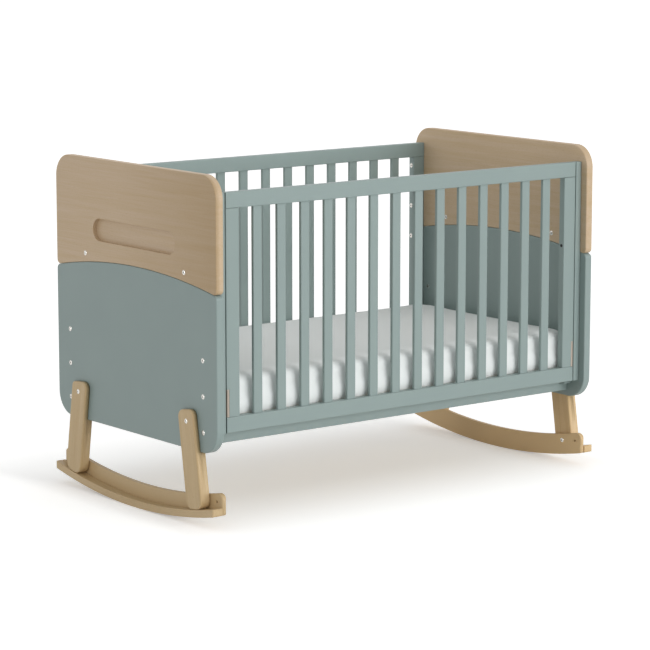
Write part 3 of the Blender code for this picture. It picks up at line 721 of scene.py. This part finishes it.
# The legs: planks of beech with round ends and rounded edges, splayed, and rebated behind so that the
# panel stands on their shoulders. A cross bolt holds each to the panel and another to the web.
SIDES = (("front", -1), ("back", 1))
LEG_WIDTH = 0.074
LEG_SPLAY = math.radians(8.8)
LEG_FOOT_SPREAD = 0.309
LEG_FOOT_RADIUS = 0.027
LEG_EDGE_ROUNDING = 0.0045
LEG_STAND_OUT = 0.002
LEG_WOOD_PLACE = (11.3, 2.7)
# The top's two corners, the one towards the bed's middle first: how far each lies below the top, and
# its radius
LEG_TOP_CORNERS = {
    "front": ((0.006, 0.022), (0.007, 0.020)),
    "back": ((0.000, 0.020), (0.017, 0.013)),
}


def leg_rings(outline, normals, near, far, steps=5):
    """Rings from the outline kept whole at near to far, drawn in along its normals round the edge
    there: by rounding * (1 - cos a) at rounding * (1 - sin a) before far."""
    angle = np.linspace(0, np.pi / 2, steps + 1)
    inset = np.append(0, LEG_EDGE_ROUNDING * (1 - np.cos(angle)))
    before = math.copysign(LEG_EDGE_ROUNDING, far - near) * (1 - np.sin(angle))
    level = np.append(near, far - before)
    ring = outline[None] - inset[:, None, None] * normals[None]
    return np.concatenate([ring, np.broadcast_to(level[:, None, None], (*ring.shape[:2], 1))], 2)


for end, outward in ENDS:
    panel_outer_x, _ = out_and_in(f"{end}_panel", outward)
    lap_x = abs(panel_outer_x) + SEAT_GAP
    shoulder_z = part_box(f"{end}_panel")[0].z - SEAT_GAP
    for side, across in SIDES:
        node = f"{end}_{side}_leg"
        low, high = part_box(node)
        outer, inner = (abs(x) for x in out_and_in(node, outward))
        outer += LEG_STAND_OUT
        length = (high.z - low.z) / math.cos(LEG_SPLAY)
        half = LEG_WIDTH / 2
        right, left = LEG_TOP_CORNERS[side][::-across]
        outline, normals = rounded_outline(
            [(-half, 0), (half, 0), (half, length - right[0]), (-half, length - left[0])],
            [LEG_FOOT_RADIUS, LEG_FOOT_RADIUS, right[1], left[1]],
            10,
        )
        # The outline gets a point on each long edge, where the shoulder crosses it
        lean = across * LEG_SPLAY
        rise = shoulder_z - low.z
        crossing = [(rise - x * math.sin(lean)) / math.cos(lean) for x in (half, -half)]
        right_edge = np.nonzero(outline[:, 0] >= half - 1e-9)[0]
        after_right = right_edge[outline[right_edge, 1] < length / 2][-1] + 1
        outline = np.insert(outline, after_right, (half, crossing[0]), 0)
        normals = np.insert(normals, after_right, (1, 0), 0)
        outline = np.append(outline, [(-half, crossing[1])], 0)
        normals = np.append(normals, [(-1, 0)], 0)
        count = len(outline)
        lower = np.append(count - 1, np.arange(after_right + 1))
        lower_count = len(lower)
        lower_normals = normals[lower]
        lower_normals[[0, -1]] = [(-1, 0), (1, 0)]
        # The whole leg stands out from the lap, and its lower half reaches in to the web
        outer_rings = leg_rings(outline, normals, lap_x, outer)
        inner_rings = leg_rings(outline[lower], lower_normals, lap_x, inner)[1:]
        points = np.concatenate([outer_rings.reshape(-1, 3), inner_rings.reshape(-1, 3)])
        first = len(outer_rings) * count
        beside = np.arange(first, first + lower_count)
        bridge = np.stack([lower, beside, np.roll(beside, -1), np.roll(lower, -1)], 1)
        faces = ring_faces(len(outer_rings), count)
        faces.append(list(range(first - count, first)))
        faces.append(list(range(after_right, count))[::-1])
        faces += bridge.tolist()
        faces += [face[::-1] for face in ring_faces(len(inner_rings), lower_count, first)]
        faces.append(list(range(len(points) - lower_count, len(points)))[::-1])
        turned = np.array([[math.cos(lean), math.sin(lean)], [-math.sin(lean), math.cos(lean)]])
        flat = points[:, :2] @ turned + (across * LEG_FOOT_SPREAD, low.z)
        placed = np.column_stack([outward * points[:, 2], flat])
        wood_place = outward * LEG_WOOD_PLACE[0] + across * LEG_WOOD_PLACE[1]
        add_piece(
            f"{end}_{side}_beech_leg",
            placed,
            facing(placed, faces),
            timber[end],
            "cot_frame",
            [node],
            points[:, [1, 0, 2]] + wood_place,
        )


# The guide blocks: small beech blocks glued into the front stiles at the foot of their grooves. They
# close the grooves, and the side hangs on them when it is up. They are washed with a pale grey stain.
BLOCK_CORNER_RADIUS = 0.0012
BLOCK_EDGE_ROUNDING = 0.0008
BLOCK_SET_IN = 0.0008
BLOCK_WOOD_PLACE = 4.1
WASHED_PALE = "B5A99C"
WASHED_DEEP = "AB9F90"

washed = restained("washed_beech", WASHED_PALE, WASHED_DEEP)
for end, outward in ENDS:
    low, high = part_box(f"{end}_guide_block")
    if end == "head":
        low.x += BLOCK_SET_IN
    else:
        high.x -= BLOCK_SET_IN
    outline, normals = rounded_outline(
        [(low.y, low.z), (high.y, low.z), (high.y, high.z), (low.y, high.z)], [BLOCK_CORNER_RADIUS] * 4, 4
    )
    rings = upright(slab(outline, normals, low.x, high.x, BLOCK_EDGE_ROUNDING, 3))
    add_piece(
        f"{end}_beech_block",
        rings,
        shell(rings),
        washed,
        "drop_side",
        [f"{end}_guide_block"],
        rings.reshape(-1, 3)[:, [2, 1, 0]] + BLOCK_WOOD_PLACE * outward,
    )


# The runners on the tracks: nylon strips that stand in the stiles' grooves, extruded, with the dull
# face and the faint lines along them that such strips have. Their colour is the paint's sage, darkened:
# painted shade for the narrow gap they are seen in.
# The paint's sage darkened to about half: painted shade of the gap
NYLON_SHADED_SAGE = "4A5552"
NYLON_ROUGHNESS = 0.46
NYLON_LINE_MM = (0.9, 0.9, 16.67)
NYLON_LINE_DEPTH_MM = 0.02

nylon, shader, place = new_material("extruded_nylon")
lines = drawn_out(nylon, place, NYLON_LINE_MM)
relief = {"Height": lines, "Distance": NYLON_LINE_DEPTH_MM / 1000, "Strength": 0.5}
set_sockets(
    nylon,
    shader,
    {
        "Base Color": linear(NYLON_SHADED_SAGE),
        "Roughness": NYLON_ROUGHNESS,
        "Normal": add_node(nylon, "Bump", relief).outputs[0],
    },
)
coat(nylon, "head_side_runner", "foot_side_runner")


# The deck: a sheet of birch plywood with slots for air, sanded and left bare. Its faces have a broad
# wavy figure, and its edges and slots show the plies, which lie in turn along and across.
BIRCH = "DFCAA2"
BIRCH_DEEP = "D0B88C"
BIRCH_PLY_DARK = "A98A5E"
BIRCH_PLY_MM = 2.9
BIRCH_FIGURE_MM = (300.0, 22.0, 22.0)
BIRCH_ROUGHNESS = 0.62

birch, shader, place = new_material("bare_birch_plywood")
figure = drawn_out(birch, place, BIRCH_FIGURE_MM, Detail=4, Distortion=0.8)
tones = {0: figure, 6: linear(BIRCH), 7: linear(BIRCH_DEEP)}
face_wood = add_node(birch, "Mix", tones, data_type="RGBA")
# Every other ply is dark: sin(pi * z / ply) is above and below 0 in turn
height = add_node(birch, "SeparateXYZ", {0: place}).outputs["Z"]
turns = add_node(birch, "Math", {0: height, 1: 1000 * math.pi / BIRCH_PLY_MM}, operation="MULTIPLY")
ply = add_node(birch, "Math", {0: turns.outputs[0]}, operation="SINE")
span = {"Value": ply.outputs[0], "From Min": -0.2, "From Max": 0.2, "To Max": 0.6}
ply_share = add_node(birch, "MapRange", span).outputs[0]
# The plies show on the edges, where the normal's Z is 0
normal = add_node(birch, "NewGeometry").outputs["Normal"]
facing_up = add_node(birch, "SeparateXYZ", {0: normal}).outputs["Z"]
flatness = add_node(birch, "Math", {0: facing_up}, operation="ABSOLUTE").outputs[0]
edge_share = add_node(birch, "Math", {0: 1.0, 1: flatness}, operation="SUBTRACT").outputs[0]
shown_ply = add_node(birch, "Math", {0: edge_share, 1: ply_share}, operation="MULTIPLY").outputs[0]
tones = {0: shown_ply, 6: face_wood.outputs[2], 7: linear(BIRCH_PLY_DARK)}
sheet_wood = add_node(birch, "Mix", tones, data_type="RGBA")
set_sockets(birch, shader, {"Base Color": sheet_wood.outputs[2], "Roughness": BIRCH_ROUGHNESS})
coat(birch, "base_deck")


# The mattress: a foam block in a fitted jersey cover, which pulls its edges round and lets the middle
# crown. It is swelled by cloth simulation from a slightly smaller block. The jersey is matt with a soft
# bloom. Its stitches are too fine to show, so they are drawn as shallow cells 15 mm across.
JERSEY = "EFF3F2"
JERSEY_CELL_MM = 15.08
JERSEY_CELL_TURN = (0.62, 0.62, 0.785)
JERSEY_RELIEF_MM = 0.12
JERSEY_ROUGHNESS = 0.9
JERSEY_BLOOM = 0.15
JERSEY_BLOOM_ROUGHNESS = 0.5
MATTRESS_INSET = 0.003
MATTRESS_FOOT_RADIUS = 0.014
MATTRESS_EDGE_RADIUS = 0.024
MATTRESS_CORNER_RADIUS = 0.045
MATTRESS_RESTING_HEIGHT = 0.02
MATTRESS_VOXEL = 0.010
MATTRESS_PRESSURE = 1.2
MATTRESS_FRAMES = 20
MATTRESS_MOST_MOVE = 0.0025

jersey, shader, place = new_material("cotton_jersey")
slanted = add_node(jersey, "Mapping", {"Vector": place, "Rotation": JERSEY_CELL_TURN}).outputs[0]
# A wave of scale 1 repeats after 2 * pi / 20
wave_scale = 1000 * 2 * math.pi / 20 / JERSEY_CELL_MM
wave = {"Vector": slanted, "Scale": wave_scale, "Distortion": 0.6, "Detail": 1}
stitch = [
    add_node(jersey, "TexWave", wave, bands_direction=direction).outputs["Fac"] for direction in ("X", "Y")
]
cells = add_node(jersey, "Math", {0: stitch[0], 1: stitch[1]}, operation="MULTIPLY")
relief = {"Height": cells.outputs[0], "Distance": JERSEY_RELIEF_MM / 1000, "Strength": 0.5}
set_sockets(
    jersey,
    shader,
    {
        "Base Color": linear(JERSEY),
        "Roughness": JERSEY_ROUGHNESS,
        "Sheen Weight": JERSEY_BLOOM,
        "Sheen Roughness": JERSEY_BLOOM_ROUGHNESS,
        "Normal": add_node(jersey, "Bump", relief).outputs[0],
    },
)

low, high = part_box("mattress")
half_length, half_width = high.x - MATTRESS_INSET, high.y - MATTRESS_INSET
bottom, top = low.z, high.z - MATTRESS_INSET
turn = np.linspace(0, np.pi / 2, 9)
insets = np.append(MATTRESS_FOOT_RADIUS * (1 - np.sin(turn)), MATTRESS_EDGE_RADIUS * (1 - np.cos(turn)))
levels = np.append(
    bottom + MATTRESS_FOOT_RADIUS * (1 - np.cos(turn)), top - MATTRESS_EDGE_RADIUS * (1 - np.sin(turn))
)
rings = []
for inset, level in zip(insets, levels):
    x, y = half_length - inset, half_width - inset
    outline, _ = rounded_outline([(-x, -y), (x, -y), (x, y), (-x, y)], [MATTRESS_CORNER_RADIUS] * 4)
    rings.append(np.column_stack([outline, np.full(len(outline), level)]))
rings = np.array(rings)
block = bpy.data.meshes.new("mattress_block")
block.from_pydata(rings.reshape(-1, 3).tolist(), [], shell(rings))
mattress = put_in("covered_mattress", block)
voxels = mattress.modifiers.new("voxels", "REMESH")
voxels.mode = "VOXEL"
voxels.voxel_size = MATTRESS_VOXEL
applied(mattress)
start = np.empty(len(mattress.data.vertices) * 3)
mattress.data.vertices.foreach_get("co", start)
start = start.reshape(-1, 3)
resting = mattress.vertex_groups.new(name="resting")
low_points = np.nonzero(start[:, 2] < bottom + MATTRESS_RESTING_HEIGHT)[0]
resting.add(low_points.tolist(), 1.0, "REPLACE")
cloth = mattress.modifiers.new("cloth", "CLOTH")
cloth.settings.use_pressure = True
cloth.settings.uniform_pressure_force = MATTRESS_PRESSURE
cloth.settings.effector_weights.gravity = 0
cloth.settings.vertex_group_mass = "resting"
cloth.point_cache.frame_end = MATTRESS_FRAMES
for step in range(1, MATTRESS_FRAMES + 1):
    bpy.context.scene.frame_set(step)
applied(mattress)
bpy.context.scene.frame_set(1)
swelled = np.empty(start.size)
mattress.data.vertices.foreach_get("co", swelled)
move = swelled.reshape(-1, 3) - start
too_far = np.maximum(np.linalg.norm(move, axis=1, keepdims=True) / MATTRESS_MOST_MOVE, 1)
mattress.data.vertices.foreach_set("co", (start + move / too_far).ravel())
mattress.vertex_groups.clear()
mattress.data.materials.clear()
mattress.data.materials.append(jersey)
mattress.data.shade_smooth()
softened = mattress.modifiers.new("softened", "SUBSURF")
softened.levels = softened.render_levels = 1
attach(mattress, "mattress")
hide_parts("mattress")


# The bolts: cross bolts of nickel-plated steel, bright and a little uneven in polish, with domed heads
# and hexagon sockets, whose floors are painted shade in dark brown. They hold the boards, the panels,
# the legs, the rockers' webs, the mattress base and the back side's stiles. Flush sleeves line the base's
# spare holes inside.
NICKEL = "DAD8D2"
NICKEL_ROUGHNESS = (0.16, 0.30)
NICKEL_POLISH_MM = 2.5
SOCKET_FLOOR_SHADE = "33271D"
SOCKET_ROUGHNESS = (0.45, 0.70)
SOCKET_OIL_MM = 1.111
HEAD_RADIUS = 0.0070
HEAD_HEIGHT = 0.0019
HEAD_RIM = 0.0003
FLUSH_HEIGHT = 0.0002
SOCKET_RADIUS = 0.0028
SOCKET_DEPTH = 0.0016
BOARD_BOLT_Y = 0.247
BOARD_BOLT_Z = 0.697
PANEL_BOLT_Y = 0.334
PANEL_BOLT_Z = (0.265, 0.365, 0.465)
LEG_BOLT_Y = 0.273
LEG_BOLT_Z = 0.290
WEB_BOLT_Y = 0.315
WEB_BOLT_Z = 0.070
STILE_BOLT_Z = (0.629, 0.726, 0.854)

nickel, shader, place = new_material("nickel_plated_steel")
polish = add_node(nickel, "TexNoise", {"Vector": place, "Scale": 1000 / NICKEL_POLISH_MM, "Detail": 2})
span = {"Value": polish.outputs["Fac"], "To Min": NICKEL_ROUGHNESS[0], "To Max": NICKEL_ROUGHNESS[1]}
roughness = add_node(nickel, "MapRange", span).outputs[0]
set_sockets(nickel, shader, {"Base Color": linear(NICKEL), "Metallic": 1.0, "Roughness": roughness})

# Dark brown for the socket floors: painted shade for the depth of the hexagon holes
socket_shade, shader, place = new_material("socket_floor_shade")
oil = add_node(socket_shade, "TexNoise", {"Vector": place, "Scale": 1000 / SOCKET_OIL_MM})
span = {"Value": oil.outputs["Fac"], "To Min": SOCKET_ROUGHNESS[0], "To Max": SOCKET_ROUGHNESS[1]}
roughness = add_node(socket_shade, "MapRange", span).outputs[0]
set_sockets(socket_shade, shader, {"Base Color": linear(SOCKET_FLOOR_SHADE), "Roughness": roughness})


def bolt_head(name, centre, outward, height=HEAD_HEIGHT):
    """Round head on a face across X: a lathed profile from the rim over a dome to the socket.

    The dome is a cap of a sphere of radius R = (r * r + h * h) / (2 * h), whose height at a distance
    d from the middle is h - R + sqrt(R * R - d * d). The socket's rings have six corners: their
    radius is that of a hexagon, r * cos(pi / 6) / cos(a mod pi / 3 - pi / 6).
    """
    around, rim = circle(48)
    hexagon = rim * (np.cos(np.pi / 6) / np.cos(around % (np.pi / 3) - np.pi / 6))[:, None]
    rise = height - min(HEAD_RIM, height / 2)
    ball = (HEAD_RADIUS**2 + rise**2) / (2 * rise)
    # The dome ends a little outside the socket, whose mouth is eased
    steps = np.linspace(HEAD_RADIUS, 1.2 * SOCKET_RADIUS, 7)
    dome = height - ball + np.sqrt(ball**2 - steps**2)
    mouth = dome[-1]
    profile = [(HEAD_RADIUS, 0, rim), *((r, level, rim) for r, level in zip(steps, dome))]
    profile += [
        (1.04 * SOCKET_RADIUS, mouth, hexagon),
        (SOCKET_RADIUS, 0.9 * mouth, hexagon),
        (SOCKET_RADIUS, mouth - min(SOCKET_DEPTH, 0.9 * mouth), hexagon),
    ]
    rings = np.array([r * shape + (level, 0, 0) for r, level, shape in profile])
    rings[..., 0] *= outward
    rings += np.asarray(centre)
    head = add_piece(name, rings, shell(rings), nickel, "cot_frame")
    # The last face, the socket's floor, gets the dark brown of painted shade
    head.data.materials.append(socket_shade)
    head.data.polygons[len(head.data.polygons) - 1].material_index = 1


for end, outward in ENDS:
    outer_x, inner_x = out_and_in(f"{end}_panel", outward)
    leg_x = out_and_in(f"{end}_front_leg", outward)[0] + outward * LEG_STAND_OUT
    web_x = out_and_in(f"{end}_rocker_web", outward)[1]
    for side, across in SIDES:
        label = f"{end}_{side}"
        bolt_head(f"{label}_board_bolt", (outer_x, across * BOARD_BOLT_Y, BOARD_BOLT_Z), outward)
        bolt_head(f"{label}_board_nut", (inner_x, across * BOARD_BOLT_Y, BOARD_BOLT_Z), -outward)
        bolt_head(f"{label}_leg_bolt", (leg_x, across * LEG_BOLT_Y, LEG_BOLT_Z), outward)
        bolt_head(f"{label}_web_bolt", (web_x, across * WEB_BOLT_Y, WEB_BOLT_Z), -outward)
        for number, level in enumerate(PANEL_BOLT_Z, start=1):
            panel_y = across * PANEL_BOLT_Y
            bolt_head(f"{label}_base_bolt_{number}", (outer_x, panel_y, level), outward)
            if number > 1:
                bolt_head(f"{label}_base_sleeve_{number}", (inner_x, panel_y, level), -outward, FLUSH_HEIGHT)
    stile_low, stile_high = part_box(f"back_{end}_stile")
    stile_x = out_and_in(f"back_{end}_stile", outward)[1]
    stile_y = (stile_low.y + stile_high.y) / 2
    for number, level in enumerate(STILE_BOLT_Z, start=1):
        bolt_head(f"{end}_stile_bolt_{number}", (stile_x, stile_y, level), -outward)


# The sleeves of the drop side's access holes: black nylon bushes pressed into the stiles' inner edges,
# with a thin flange outside.
SLEEVE_BLACK = "1C1E1D"
SLEEVE_RADIUS = ACCESS_HOLE_RADIUS - 0.0001
SLEEVE_DEPTH = 0.010
SLEEVE_FLOOR = 0.001
FLANGE_RADIUS = 0.0047
FLANGE_HEIGHT = 0.0006
FLANGE_LIFT = 0.00002
BORE_RADIUS = 0.0027

sleeve_nylon = nylon.copy()
sleeve_nylon.name = "black_nylon"
shader = sleeve_nylon.node_tree.nodes["Principled BSDF"]
set_sockets(sleeve_nylon, shader, {"Base Color": linear(SLEEVE_BLACK)})
profile = (
    (SLEEVE_RADIUS, -SLEEVE_DEPTH),
    (SLEEVE_RADIUS, FLANGE_LIFT),
    (FLANGE_RADIUS, FLANGE_LIFT),
    (FLANGE_RADIUS, 0.6 * FLANGE_HEIGHT),
    (0.95 * FLANGE_RADIUS, FLANGE_HEIGHT),
    (1.12 * BORE_RADIUS, FLANGE_HEIGHT),
    (BORE_RADIUS, 0.5 * FLANGE_HEIGHT),
    (BORE_RADIUS, SLEEVE_FLOOR - SLEEVE_DEPTH),
)
for end, outward in ENDS:
    low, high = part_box(f"front_{end}_stile")
    inner_x = out_and_in(f"front_{end}_stile", outward)[1]
    rings = np.array([radius * circle(40)[1] + (level, 0, 0) for radius, level in profile])
    rings[..., 0] *= -outward
    rings += np.array((inner_x, (low.y + high.y) / 2, ACCESS_HOLE_HEIGHT))
    add_piece(f"{end}_hole_sleeve", rings, shell(rings), sleeve_nylon, "drop_side")
